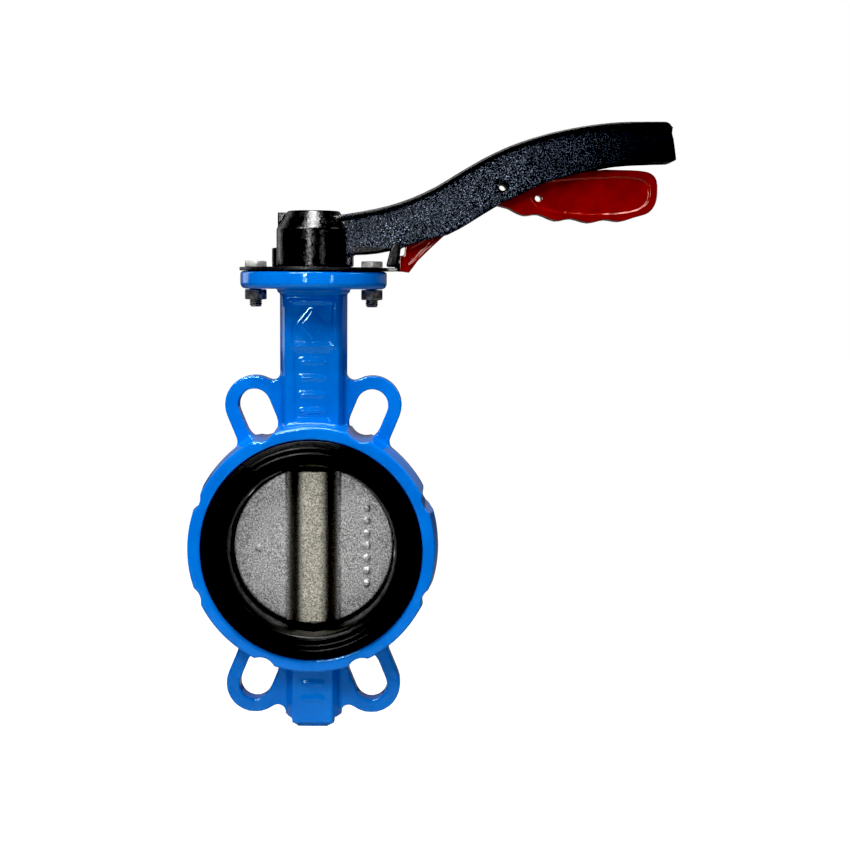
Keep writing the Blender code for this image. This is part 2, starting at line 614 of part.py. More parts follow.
def torsion_spring(axis):
    """Wire wound round the pin, one leg along the trigger's slot and one up to the lever's roof."""
    wire = 0.6
    coil = 5.2
    half_width = 2.4
    leg = 15.0
    turns = 3
    per_turn = 12
    start = -90.0
    sweep = -(360.0 * turns + 130.0)
    steps = round(abs(sweep) / 360.0 * per_turn)
    path = [(PIVOT[0] + leg, -half_width, PIVOT[1] - coil)]
    for step in range(steps + 1):
        angle = math.radians(start + sweep * step / steps)
        path.append((PIVOT[0] + coil * math.cos(angle), half_width * (2.0 * step / steps - 1.0),
                     PIVOT[1] + coil * math.sin(angle)))
    end = math.radians(start + sweep)
    path.append((path[-1][0] + leg * math.sin(end), half_width, path[-1][2] - leg * math.cos(end)))
    curve = bpy.data.curves.new("trigger_spring", "CURVE")
    curve.dimensions = "3D"
    curve.bevel_depth = wire * MM
    curve.bevel_resolution = 2
    curve.use_fill_caps = True
    spline = curve.splines.new("POLY")
    spline.points.add(len(path) - 1)
    for point, place in zip(spline.points, path):
        point.co = (*[value * MM for value in place], 1.0)
    piece = bpy.data.objects.new("trigger_spring", curve)
    helpers.objects.link(piece)
    finished(piece, "steel", axis)


# ---------------------------------------------------------------- valve

clear_scene()
valve = new_collection("butterfly_valve")
helpers = new_collection("cutters")

valve_body()
seat_liner()
stem_fittings()
notch_plate()
flange_fasteners()

stem_axis = axis_empty("stem_axis")
disc(stem_axis)
stems(stem_axis)
lever(stem_axis)
lever_screw(stem_axis)
trigger_pin(stem_axis)

trigger_axis = axis_empty("trigger_axis", *PIVOT)
trigger(trigger_axis)
torsion_spring(trigger_axis)
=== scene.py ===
"""Looks of the butterfly valve: cast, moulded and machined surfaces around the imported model.

Units are metres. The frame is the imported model's: the origin is the bore's centre, +Z runs up
the stem, +Y along the pipe and +X along the closed lever.
"""

import math

import bmesh
import bpy
from mathutils import Matrix, Vector


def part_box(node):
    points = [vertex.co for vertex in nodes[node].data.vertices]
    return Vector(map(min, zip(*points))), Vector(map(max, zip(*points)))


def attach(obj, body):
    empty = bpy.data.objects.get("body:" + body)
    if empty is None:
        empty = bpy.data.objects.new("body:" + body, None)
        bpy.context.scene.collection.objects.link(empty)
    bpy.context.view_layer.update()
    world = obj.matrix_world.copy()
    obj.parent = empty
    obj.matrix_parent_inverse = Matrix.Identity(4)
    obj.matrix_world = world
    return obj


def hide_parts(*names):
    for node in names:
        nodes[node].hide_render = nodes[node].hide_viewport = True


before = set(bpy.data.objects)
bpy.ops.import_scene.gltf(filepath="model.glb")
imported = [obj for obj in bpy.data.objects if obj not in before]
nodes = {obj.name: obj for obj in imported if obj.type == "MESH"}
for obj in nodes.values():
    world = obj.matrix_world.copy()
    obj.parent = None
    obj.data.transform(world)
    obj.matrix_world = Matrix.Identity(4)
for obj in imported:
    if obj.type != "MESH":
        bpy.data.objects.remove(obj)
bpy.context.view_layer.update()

MM = 0.001
BODY, ROTOR, TRIGGER = "valve_frame", "stem_and_lever", "trigger"

# Sizes shared with the CAD, in metres
NECK_FACE = 14.0 * MM           # the neck's front face, from the middle plane
POCKET_DEPTH = 0.8 * MM         # how far the recess in the neck goes below that face
BOSS_PANEL = 13.8 * MM          # the raised panel on the bottom boss
LEVER_SIDE = 11.5 * MM          # the lever's side walls, from the middle plane
LIP_HALF = 12.4 * MM            # the lip along the lever's top edge
HUB_REACH = 25.6 * MM           # how far the lever's round hub goes from the stem's axis
SCREW_RADIUS = 3.0 * MM         # the screw in the lever's hub, an M6
SCREW_HEAD_RADIUS = 5.0 * MM
SCREW_HEAD_LOW = 205.7 * MM
BOLT_RADIUS = 4.0 * MM          # the flange bolts, which are M8
SEAT_LAND_RADIUS = 16.1 * MM    # the flats inside the seat, round each stem hole
SEAT_LAND_LOW = 49.2 * MM
SEAT_HOLE_RADIUS = 8.2 * MM
DISC_FACE = 5.5 * MM            # the disc's flat faces, from the middle plane

# Choices that only the looks use
HEX_TURNS = {"left": 12.0, "right": 5.0}    # how far the bolts and nuts are turned, in degrees
MARK_ROOT = 0.6 * MM            # how far a raised mark starts below the face that it stands on


# ---------------------------------------------------------------- shader helpers

class Shader:
    """A Principled material with the few nodes that every finish here is built from."""

    def __init__(self, name):
        self.material = bpy.data.materials.new(name)
        self.material.use_nodes = True
        self.tree = self.material.node_tree
        self.surface = self.tree.nodes["Principled BSDF"]
        self.place = self.tree.nodes.new("ShaderNodeTexCoord").outputs["Object"]

    def set(self, **values):
        for name, value in values.items():
            self.surface.inputs[name.replace("_", " ")].default_value = value

    def link(self, source, target):
        self.tree.links.new(source, self.surface.inputs[target])

    def noise(self, scale, detail, roughness=0.5, vector=None):
        node = self.tree.nodes.new("ShaderNodeTexNoise")
        node.inputs["Scale"].default_value = scale
        node.inputs["Detail"].default_value = detail
        node.inputs["Roughness"].default_value = roughness
        self.tree.links.new(vector or self.place, node.inputs["Vector"])
        return node.outputs["Fac"]

    def stretched(self, x, y, z):
        node = self.tree.nodes.new("ShaderNodeMapping")
        node.inputs["Scale"].default_value = (x, y, z)
        self.tree.links.new(self.place, node.inputs["Vector"])
        return node.outputs["Vector"]

    def axis(self, name):
        node = self.tree.nodes.new("ShaderNodeSeparateXYZ")
        self.tree.links.new(self.place, node.inputs["Vector"])
        return node.outputs[name]

    def math(self, operation, first, second=0.0):
        node = self.tree.nodes.new("ShaderNodeMath")
        node.operation = operation
        for socket, value in zip(node.inputs, (first, second)):
            if isinstance(value, (int, float)):
                socket.default_value = value
            else:
                self.tree.links.new(value, socket)
        return node.outputs["Value"]

    def band(self, value, low, high, result_low=0.0, result_high=1.0):
        """Map a value from low..high to result_low..result_high, smoothly, clamped."""
        node = self.tree.nodes.new("ShaderNodeMapRange")
        node.interpolation_type = "SMOOTHSTEP"
        self.tree.links.new(value, node.inputs["Value"])
        for name, number in (("From Min", low), ("From Max", high), ("To Min", result_low),
                             ("To Max", result_high)):
            node.inputs[name].default_value = number
        return node.outputs["Result"]

    def blend(self, factor, first, second):
        """Colour between first and second, each a colour or a colour output."""
        node = self.tree.nodes.new("ShaderNodeMix")
        node.data_type = "RGBA"
        self.tree.links.new(factor, node.inputs["Factor"])
        for socket, colour in ((node.inputs[6], first), (node.inputs[7], second)):
            if isinstance(colour, tuple):
                socket.default_value = (*colour, 1.0)
            else:
                self.tree.links.new(colour, socket)
        return node.outputs[2]

    def pointiness(self):
        return self.tree.nodes.new("ShaderNodeNewGeometry").outputs["Pointiness"]

    def bump(self, height, distance, under=None):
        """Surface relief of a given depth, on top of another bump if there is one."""
        node = self.tree.nodes.new("ShaderNodeBump")
        node.inputs["Strength"].default_value = 1.0
        node.inputs["Distance"].default_value = distance
        self.tree.links.new(height, node.inputs["Height"])
        if under is not None:
            self.tree.links.new(under, node.inputs["Normal"])
        return node.outputs["Normal"]


# ---------------------------------------------------------------- finishes

def blue_epoxy():
    """Thick gloss epoxy over a sand casting: orange peel, slow waviness, and a painted highlight that
    pales the convex edges.
    """
    s = Shader("blue_epoxy_paint")
    tone = s.blend(s.band(s.noise(45.0, 4.0), 0.35, 0.65), (0.0036, 0.148, 0.63), (0.0046, 0.174, 0.71))
    # painted highlight: sharp convex edges, found by pointiness, are blended towards a paler blue
    edge = s.band(s.pointiness(), 0.52, 0.62)
    s.link(s.blend(s.math("MULTIPLY", edge, 0.35), tone, (0.01, 0.26, 0.85)), "Base Color")
    s.link(s.band(s.noise(160.0, 3.0), 0.3, 0.7, 0.05, 0.12), "Roughness")
    s.set(Specular_IOR_Level=0.75, Specular_Tint=(0.45, 0.85, 1.0, 1.0))
    s.set(Coat_Weight=0.12, Coat_Roughness=0.03)
    wavy = s.bump(s.noise(110.0, 2.0), 0.14 * MM)
    s.link(s.bump(s.noise(600.0, 3.0, 0.6), 0.03 * MM, wavy), "Normal")
    return s.material


def seat_rubber():
    """Moulded black rubber with a bloom of pale dust in its low places."""
    s = Shader("moulded_rubber")
    dust = s.band(s.noise(260.0, 6.0, 0.65), 0.52, 0.80)
    half_dust = s.math("MULTIPLY", dust, 0.5)
    s.link(s.blend(half_dust, (0.0006, 0.0006, 0.0007), (0.003, 0.003, 0.003)), "Base Color")
    s.link(s.band(s.noise(90.0, 4.0), 0.3, 0.7, 0.20, 0.34), "Roughness")
    s.set(Specular_IOR_Level=0.16)
    s.link(s.bump(s.noise(1800.0, 4.0, 0.6), 0.03 * MM), "Normal")
    return s.material


def disc_metal():
    """Nickel-plated cast disc: coarse sand grain all over, warmer and brighter along its hub, with
    painted shade on the hub's flanks, in the valleys beside it and in creases.
    """
    s = Shader("plated_casting")
    grain = s.noise(1050.0, 5.0, 0.75)
    along = s.math("ABSOLUTE", s.axis("X"))
    hub = s.band(along, 7.0 * MM, 12.0 * MM, 1.0, 0.0)
    grey = s.blend(s.band(grain, 0.35, 0.68), (0.15, 0.15, 0.15), (1.0, 1.0, 0.99))
    warm = s.blend(s.band(grain, 0.35, 0.68), (0.20, 0.19, 0.15), (0.97, 0.93, 0.79))
    outer = s.band(along, 13.6 * MM, 18.8 * MM, 1.0, 0.0)
    # painted shade: the hub's sloping flanks and the valleys beside them, about 5 to 19 mm off the
    # middle, are darkened so the hub looks rounded and shaded
    valley_shade = s.math("MULTIPLY", s.band(along, 4.5 * MM, 10.8 * MM), outer)
    crease_shade = s.band(s.pointiness(), 0.42, 0.485, 1.0, 0.0)
    # painted shade in creases, found by low pointiness, joined with the valley shade
    painted_shade = s.math("MAXIMUM", s.math("MULTIPLY", valley_shade, 0.93), crease_shade)
    s.link(s.blend(painted_shade, s.blend(hub, grey, warm), (0.022, 0.019, 0.012)), "Base Color")
    s.link(s.band(s.noise(420.0, 4.0), 0.3, 0.7, 0.28, 0.46), "Roughness")
    s.set(Metallic=0.85)
    coarse = s.bump(s.noise(260.0, 3.0), 0.25 * MM)
    s.link(s.bump(grain, 0.32 * MM, coarse), "Normal")
    return s.material


def lever_black():
    """Black textured powder coat: fine pebbles that sparkle, with pale flecks painted as a sheen that
    rises along the arm from the hub and fades to almost none at the grip's end.
    """
    s = Shader("black_powder_coat")
    pebble = s.noise(1150.0, 4.0, 0.7)
    patch = s.band(s.noise(70.0, 3.0), 0.30, 0.60, 0.45, 1.0)
    # painted sheen: the flecks' strength rises along the arm from the hub and fades towards the grip's
    # end, standing in for the lamp's reflection
    sheen_rise = s.band(s.axis("X"), 18.0 * MM, 55.0 * MM, 0.6, 1.0)
    sheen_fade = s.band(s.axis("X"), 100.0 * MM, 200.0 * MM, 1.0, 0.03)
    painted_sheen = s.math("MULTIPLY", sheen_rise, sheen_fade)
    fleck_and_sheen = s.math("MULTIPLY", s.band(pebble, 0.53, 0.64), s.math("MULTIPLY", patch, painted_sheen))
    # painted sparkle and sheen: pale bluish metallic flecks on the black pebbles
    s.link(s.blend(fleck_and_sheen, (0.0008, 0.0009, 0.0012), (0.33, 0.39, 0.53)), "Base Color")
    s.link(fleck_and_sheen, "Metallic")
    s.link(s.band(pebble, 0.35, 0.60, 0.16, 0.34), "Roughness")
    s.set(Specular_IOR_Level=0.2, Specular_Tint=(0.78, 0.87, 1.0, 1.0))
    slow = s.bump(s.noise(200.0, 2.0), 0.25 * MM)
    s.link(s.bump(pebble, 0.10 * MM, slow), "Normal")
    return s.material


def hub_black():
    """The lever's hub: the same black coat, glossier and finer where it was machined first."""
    s = Shader("black_hub_coat")
    tone = s.band(s.noise(500.0, 4.0), 0.45, 0.75)
    s.link(s.blend(tone, (0.0012, 0.0012, 0.0014), (0.006, 0.006, 0.007)), "Base Color")
    s.link(s.band(s.noise(240.0, 3.0), 0.3, 0.7, 0.16, 0.30), "Roughness")
    slow = s.bump(s.noise(170.0, 2.0), 0.18 * MM)
    s.link(s.bump(s.noise(650.0, 3.0, 0.6), 0.11 * MM, slow), "Normal")
    return s.material


def lip_black():
    """Plain gloss black, smooth where hands rub: the lever's lip, its tab and the trigger's pin."""
    s = Shader("black_smooth_coat")
    tone = s.band(s.noise(400.0, 4.0), 0.4, 0.7)
    s.link(s.blend(tone, (0.0010, 0.0010, 0.0012), (0.004, 0.004, 0.005)), "Base Color")
    s.link(s.band(s.noise(200.0, 3.0), 0.3, 0.7, 0.22, 0.34), "Roughness")
    s.set(Specular_IOR_Level=0.3)
    s.link(s.bump(s.noise(500.0, 3.0), 0.03 * MM), "Normal")
    return s.material


def trigger_red():
    """Glossy red paint, flowed thick over a rough casting."""
    s = Shader("gloss_red_paint")
    tone = s.blend(s.band(s.noise(120.0, 4.0), 0.35, 0.65),
                   (0.15, 0.0030, 0.0012), (0.20, 0.0045, 0.0018))
    # painted highlight: sharp convex edges, found by pointiness, are blended towards a brighter red
    edge = s.band(s.pointiness(), 0.53, 0.64)
    s.link(s.blend(s.math("MULTIPLY", edge, 0.6), tone, (0.30, 0.010, 0.005)), "Base Color")
    s.link(s.band(s.noise(260.0, 3.0), 0.3, 0.7, 0.06, 0.14), "Roughness")
    s.set(Specular_IOR_Level=0.7, Specular_Tint=(1.0, 0.7, 0.62, 1.0))
    s.set(Coat_Weight=0.12, Coat_Roughness=0.03)
    slow = s.bump(s.noise(160.0, 2.0), 0.16 * MM)
    s.link(s.bump(s.noise(900.0, 2.0), 0.02 * MM, slow), "Normal")
    return s.material


def zinc_plate():
    """Dull zinc plate, patchy, with faint turning marks, and painted shade making it nearly black below
    the flange.
    """
    s = Shader("zinc_plating")
    patch = s.blend(s.band(s.noise(330.0, 5.0, 0.6), 0.35, 0.7), (0.62, 0.62, 0.59), (0.88, 0.88, 0.85))
    # painted shade: below the flange's underside the zinc is darkened nearly to black, as if in the
    # flange's shadow
    low = s.band(s.axis("Z"), 160.0 * MM, 163.0 * MM, 1.0, 0.0)
    flange_shade = s.math("MULTIPLY", low, s.band(s.noise(300.0, 4.0), 0.30, 0.60, 0.60, 0.95))
    s.link(s.blend(flange_shade, patch, (0.085, 0.083, 0.080)), "Base Color")
    s.link(s.band(s.noise(520.0, 4.0), 0.3, 0.7, 0.28, 0.48), "Roughness")
    s.set(Metallic=0.6)
    s.link(s.bump(s.noise(900.0, 3.0, vector=s.stretched(1.0, 1.0, 3.0)), 0.03 * MM), "Normal")
    return s.material


def plate_black():
    """Black paint on pressed steel, rubbed to bare metal on the teeth round its rim."""
    s = Shader("black_plate_paint")
    across = s.math("POWER", s.axis("X"), 2.0)
    along = s.math("POWER", s.axis("Y"), 2.0)
    reach = s.math("SQRT", s.math("ADD", across, along))
    teeth = s.band(reach, 46.6 * MM, 48.6 * MM)
    worn = s.math("MULTIPLY", teeth, s.band(s.noise(420.0, 5.0, 0.65), 0.30, 0.46))
    s.link(s.blend(worn, (0.008, 0.008, 0.009), (0.52, 0.51, 0.48)), "Base Color")
    s.link(s.math("MULTIPLY", worn, 0.85), "Metallic")
    s.link(s.band(s.noise(380.0, 4.0), 0.3, 0.7, 0.26, 0.44), "Roughness")
    s.link(s.bump(s.noise(900.0, 3.0), 0.03 * MM), "Normal")
    return s.material


def ground_steel():
    """Ground stainless steel, with fine marks running round the stem."""
    s = Shader("ground_steel")
    lines = s.noise(260.0, 4.0, 0.7, vector=s.stretched(1.0, 1.0, 22.0))
    s.link(s.blend(s.band(lines, 0.3, 0.7), (0.44, 0.44, 0.43), (0.66, 0.66, 0.64)), "Base Color")
    s.link(s.band(lines, 0.3, 0.7, 0.22, 0.40), "Roughness")
    s.set(Metallic=1.0)
    s.link(s.bump(lines, 0.02 * MM), "Normal")
    return s.material


def moulded_polymer():
    """Ivory bearing polymer with a faint mottle."""
    s = Shader("moulded_polymer")
    tone = s.band(s.noise(300.0, 4.0), 0.3, 0.7)
    s.link(s.blend(tone, (0.62, 0.58, 0.46), (0.74, 0.71, 0.60)), "Base Color")
    s.link(s.band(s.noise(500.0, 3.0), 0.3, 0.7, 0.42, 0.58), "Roughness")
    s.link(s.bump(s.noise(1200.0, 3.0), 0.02 * MM), "Normal")
    return s.material


# ---------------------------------------------------------------- mesh helpers

def add_object(name, mesh):
    piece = bpy.data.objects.new(name, mesh)
    bpy.context.scene.collection.objects.link(piece)
    return piece


def from_bmesh(name, shape):
    mesh = bpy.data.meshes.new(name)
    shape.to_mesh(mesh)
    shape.free()
    return add_object(name, mesh)


def welded_copy(node, name):
    """A new piece with the shape of a CAD node, its split corners joined again."""
    shape = bmesh.new()
    shape.from_mesh(nodes[node].data)
    bmesh.ops.remove_doubles(shape, verts=shape.verts, dist=0.001 * MM)
    for layer in list(shape.loops.layers.uv):
        shape.loops.layers.uv.remove(layer)
    piece = from_bmesh(name, shape)
    piece.data.materials.clear()
    return piece


def apply_modifiers(piece):
    """Replace the piece's mesh by its evaluated one."""
    graph = bpy.context.evaluated_depsgraph_get()
    mesh = bpy.data.meshes.new_from_object(piece.evaluated_get(graph))
    piece.modifiers.clear()
    piece.data = mesh
    return piece


def merge(piece, *others):
    """Put the other pieces' shells into this one, ready for a remesh to unite them."""
    shape = bmesh.new()
    shape.from_mesh(piece.data)
    for other in others:
        shape.from_mesh(other.data)
        bpy.data.objects.remove(other)
    shape.to_mesh(piece.data)
    shape.free()
    return piece


def cast_skin(piece, voxel, rounds, waviness, wave_size, grain=0.0, grain_size=0.0):
    """Unite the shells with a fine remesh, round every edge and give the skin its unevenness."""
    remesh = piece.modifiers.new("unite", "REMESH")
    remesh.mode = "VOXEL"
    remesh.voxel_size = voxel
    soften = piece.modifiers.new("soften", "SMOOTH")
    soften.factor = 0.5
    soften.iterations = rounds
    for name, depth, size in (("waves", waviness, wave_size), ("grain", grain, grain_size)):
        if depth:
            pattern = bpy.data.textures.new(piece.name + "_" + name, "CLOUDS")
            pattern.noise_scale = size
            pattern.noise_depth = 2
            rough = piece.modifiers.new(name, "DISPLACE")
            rough.texture = pattern
            rough.texture_coords = "LOCAL"
            rough.strength = depth
            rough.mid_level = 0.5
    apply_modifiers(piece)
    piece.data.shade_smooth()


def prism(name, outline, low, high):
    """Straight-sided shell along Y from an outline of (x, z)."""
    shape = bmesh.new()
    face = shape.faces.new([shape.verts.new((x, low, z)) for x, z in outline])
    extruded = bmesh.ops.extrude_face_region(shape, geom=[face])
    moved = [item for item in extruded["geom"] if isinstance(item, bmesh.types.BMVert)]
    bmesh.ops.translate(shape, vec=(0.0, high - low, 0.0), verts=moved)
    bmesh.ops.recalc_face_normals(shape, faces=shape.faces)
    return from_bmesh(name, shape)


def arc(centre, radius, start, end, steps):
    angles = [math.radians(start + (end - start) * step / steps) for step in range(steps + 1)]
    return [(centre[0] + radius * math.cos(a), centre[1] + radius * math.sin(a)) for a in angles]


def pill(z, length, height):
    """Outline of a bar with round ends, centred on the stem."""
    radius = 0.5 * height
    reach = 0.5 * length - radius
    outline = []
    for quarter, side in enumerate((1, 1, -1, -1)):
        start = 90.0 * quarter - 90.0
        outline += arc((side * reach, z), radius, start, start + 90.0, 5)
    return outline


def turned(name, profile, steps, closed=True, along="Z"):
    """Solid of revolution about Z, or along Y, of (radius, height) points."""
    shape = bmesh.new()
    corners = [shape.verts.new((radius, 0.0, height)) for radius, height in profile]
    for start, end in zip(corners, corners[1:]):
        shape.edges.new((start, end))
    if closed:
        shape.edges.new((corners[-1], corners[0]))
    piece = from_bmesh(name, shape)
    turn = piece.modifiers.new("turn", "SCREW")
    turn.steps = steps
    turn.render_steps = steps
    turn.use_merge_vertices = True
    turn.merge_threshold = 0.001 * MM
    apply_modifiers(piece)
    if along == "Y":
        piece.data.transform(Matrix.Rotation(-math.pi / 2, 4, "X"))
    return piece


def rounded(profile, radius, steps=4):
    """A closed profile with each corner replaced by a small arc."""
    result = []
    count = len(profile)
    for index in range(count):
        here = Vector(profile[index])
        back = Vector(profile[index - 1]) - here
        ahead = Vector(profile[(index + 1) % count]) - here
        reach = min(radius, 0.45 * back.length, 0.45 * ahead.length)
        start = here + back.normalized() * reach
        end = here + ahead.normalized() * reach
        for step in range(steps + 1):
            t = step / steps
            point = start * (1 - t) ** 2 + here * 2 * t * (1 - t) + end * t * t
            result.append((point.x, point.y))
    return result


def boolean(piece, operation, *others):
    for other in others:
        cut = piece.modifiers.new(other.name, "BOOLEAN")
        cut.operation = operation
        cut.solver = "EXACT"
        cut.object = other
    apply_modifiers(piece)
    for other in others:
        bpy.data.objects.remove(other)
    return piece


def cylinder(name, radius, low, high, sides=48, x=0.0):
    shape = bmesh.new()
    place = Matrix.Translation((x, 0.0, 0.5 * (low + high)))
    bmesh.ops.create_cone(shape, cap_ends=True, segments=sides, radius1=radius, radius2=radius,
                          depth=high - low, matrix=place)
    return from_bmesh(name, shape)


def smooth_by_angle(piece, degrees):
    piece.data.shade_smooth()
    piece.data.set_sharp_from_angle(angle=math.radians(degrees))
    return piece


def dress(piece, material, body, replaced):
    """Give a piece its finish and the body it moves with, and hide the CAD node it stands for."""
    piece.data.materials.clear()
    piece.data.materials.append(material)
    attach(piece, body)
    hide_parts(replaced)


# ---------------------------------------------------------------- casting

def lozenge(z, half):
    """Outline of an upright diamond, centred on the stem."""
    tall = 1.2 * half
    return [(half, z), (0.0, z + tall), (-half, z), (0.0, z - tall)]


def raised_marks(side):
    """Generic cast marks on one side of the neck and boss: a lozenge and a few plain bars."""
    sign = -1.0 if side == "front" else 1.0

    def levels(face, height):
        return sorted((sign * (face - MARK_ROOT), sign * (face + height)))

    bar_height, bar_relief = 2.2 * MM, 0.6 * MM
    frame_middle, top_bar, bar_pitch = 140.5 * MM, 117.0 * MM, 10.3 * MM
    low, high = levels(NECK_FACE, 0.5 * MM)
    marks = [prism(side + "_lozenge", lozenge(frame_middle, 7.4 * MM), low, high)]
    low, high = levels(NECK_FACE - POCKET_DEPTH, bar_relief)
    for row in range(4):
        bar = pill(top_bar - bar_pitch * row, 15.0 * MM, bar_height)
        marks.append(prism(side + "_neck_bar", bar, low, high))
    low, high = levels(BOSS_PANEL, bar_relief)
    for height in (-87.0 * MM, -97.0 * MM):
        marks.append(prism(side + "_boss_bar", pill(height, 13.0 * MM, bar_height), low, high))
    return marks


def valve_casting(material):
    body = welded_copy("valve_body", "body_casting")
    merge(body, *raised_marks("front"), *raised_marks("back"))
    cast_skin(body, 0.75 * MM, 3, waviness=0.14 * MM, wave_size=18.0 * MM)
    dress(body, material, BODY, "valve_body")


def seat(material):
    """Rubber liner with two sealing beads on each face and a flat land round each stem hole."""
    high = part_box("seat_liner")[1]
    lip, face = high.x / MM, high.y / MM
    bead = face + 0.35
    lip_back, back_radius = 21.2, 59.7
    inside_rubber, hole_start, hole_end = 56.0 * MM, 40.0 * MM, 65.0 * MM
    side = [(lip, face), (lip, lip_back), (back_radius, lip_back)]
    outer = side + [(r, -y) for r, y in reversed(side)]
    front = [(64.9, face), (64.3, bead), (63.2, bead), (62.6, face), (61.4, face), (60.8, bead),
             (59.9, bead), (59.3, face), (56.2, face), (55.0, face - 0.5), (54.0, face - 1.5),
             (52.9, face - 3.6), (52.2, face - 6.0), (51.8, face - 9.0)]
    inner = [(r, -y) for r, y in front] + list(reversed(front))
    profile = rounded([(r * MM, y * MM) for r, y in outer + inner], 0.7 * MM)
    liner = turned("seat_rubber_liner", profile, 160, along="Y")
    boolean(liner, "UNION",
            cylinder("upper_land", SEAT_LAND_RADIUS, SEAT_LAND_LOW, inside_rubber, 64),
            cylinder("lower_land", SEAT_LAND_RADIUS, -inside_rubber, -SEAT_LAND_LOW, 64))
    boolean(liner, "DIFFERENCE",
            cylinder("upper_hole", SEAT_HOLE_RADIUS, hole_start, hole_end),
            cylinder("lower_hole", SEAT_HOLE_RADIUS, -hole_end, -hole_start))
    smooth_by_angle(liner, 40.0)
    dress(liner, material, BODY, "seat_liner")


# ---------------------------------------------------------------- fasteners

def threaded_rod(name, radius, pitch, low, high, x=0.0):
    """Rod with a helical V thread, its last turn tapered at the tip."""
    depth = 0.54 * pitch
    per_pitch, sides = 6, 32
    rings = int((high - low) / pitch * per_pitch)
    shape = bmesh.new()
    rows = []
    for ring in range(rings + 1):
        height = low + (high - low) * ring / rings
        taper = min(1.0, 0.80 + 0.20 * (height - low) / (0.9 * pitch))
        row = []
        for side in range(sides):
            angle = 2 * math.pi * side / sides
            phase = (height / pitch - side / sides) % 1.0
            crest = abs(2.0 * phase - 1.0)
            reach = (radius - depth * (1.0 - min(1.0, 1.25 * crest))) * taper
            row.append(shape.verts.new((x + reach * math.cos(angle), reach * math.sin(angle), height)))
        rows.append(row)
    for lower, upper in zip(rows, rows[1:]):
        for side in range(sides):
            after = (side + 1) % sides
            shape.faces.new((lower[side], lower[after], upper[after], upper[side]))
    shape.faces.new(list(reversed(rows[0])))
    shape.faces.new(rows[-1])
    return from_bmesh(name, shape)


def hex_block(name, across_flats, low, high, x, turn, both_ends):
    """Hexagon with its corners turned down at 30 degrees at the top, or at both ends."""
    corner = across_flats / math.sqrt(3.0)
    place = Matrix.Translation((x, 0.0, 0.5 * (low + high))) @ Matrix.Rotation(turn, 4, "Z")
    shape = bmesh.new()
    bmesh.ops.create_cone(shape, cap_ends=True, segments=6, radius1=corner, radius2=corner,
                          depth=high - low, matrix=place)
    block = from_bmesh(name, shape)
    flat, outside = 0.95 * 0.5 * across_flats, 1.05 * corner
    drop = (outside - flat) * math.tan(math.radians(30.0))
    bottom = [(outside, low + drop), (flat, low)] if both_ends else [(outside, low)]
    profile = [(0.0, high), (flat, high), (outside, high - drop), *bottom, (0.0, low)]
    limit = turned(name + "_limit", profile, 64, closed=False)
    limit.data.transform(Matrix.Translation((x, 0.0, 0.0)))
    return boolean(block, "INTERSECT", limit)


def soften_edges(piece, width):
    bevel = piece.modifiers.new("worn_edges", "BEVEL")
    bevel.width = width
    bevel.segments = 2
    bevel.limit_method = "ANGLE"
    bevel.angle_limit = math.radians(25.0)
    return smooth_by_angle(apply_modifiers(piece), 40.0)


def flange_fasteners(material):
    for side in ("left", "right"):
        bolt_low, bolt_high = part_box("flange_bolt_" + side)
        nut_low, nut_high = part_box("flange_nut_" + side)
        x = 0.5 * (nut_low.x + nut_high.x)
        flats = min(nut_high.x - nut_low.x, nut_high.y - nut_low.y)
        head_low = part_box("notch_plate")[1].z + 0.3 * MM
        turn = math.radians(HEX_TURNS[side])
        head = hex_block("bolt_head_" + side, flats, head_low, bolt_high.z, x, turn, both_ends=False)
        soften_edges(head, 0.25 * MM)
        shank = threaded_rod("bolt_shank_" + side, BOLT_RADIUS, 1.25 * MM, bolt_low.z,
                             head_low + 0.3 * MM, x)
        smooth_by_angle(shank, 50.0)
        head = merge(head, shank)
        dress(head, material, BODY, "flange_bolt_" + side)
        nut = hex_block("hex_nut_" + side, flats, nut_low.z, nut_high.z, x, turn, both_ends=True)
        boolean(nut, "DIFFERENCE",
                cylinder("nut_hole", BOLT_RADIUS + 0.3 * MM, nut_low.z - MM, nut_high.z + MM, 40, x))
        soften_edges(nut, 0.25 * MM)
        dress(nut, material, BODY, "flange_nut_" + side)


def lever_fasteners(zinc, steel, black):
    """Socket screw in the hub's top, its washer, the trigger's roll pin and the bottom plug."""
    low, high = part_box("lever_screw")
    chamfer, edge = 0.7 * MM, 0.2 * MM
    head = turned("socket_screw", [
        (0.0, high.z), (SCREW_HEAD_RADIUS - chamfer, high.z), (SCREW_HEAD_RADIUS, high.z - chamfer),
        (SCREW_HEAD_RADIUS, SCREW_HEAD_LOW + edge), (SCREW_HEAD_RADIUS - edge, SCREW_HEAD_LOW),
        (0.0, SCREW_HEAD_LOW)], 48, closed=False)
    socket_low = SCREW_HEAD_LOW + 1.3 * MM
    boolean(head, "DIFFERENCE", cylinder("hex_socket", 2.9 * MM, socket_low, high.z + MM, 6))
    soften_edges(head, 0.15 * MM)
    shank = threaded_rod("screw_thread", SCREW_RADIUS, 1.0 * MM, low.z, SCREW_HEAD_LOW + edge)
    smooth_by_angle(shank, 50.0)
    dress(merge(head, shank), zinc, ROTOR, "lever_screw")
    washer = soften_edges(welded_copy("lever_washer", "spring_washer"), 0.2 * MM)
    dress(washer, zinc, ROTOR, "lever_washer")
    pin = soften_edges(welded_copy("trigger_pin", "roll_pin"), 0.25 * MM)
    dress(pin, black, ROTOR, "trigger_pin")
    plug = soften_edges(welded_copy("bottom_plug", "socket_plug"), 0.5 * MM)
    dress(plug, steel, BODY, "bottom_plug")


# ---------------------------------------------------------------- moving pieces

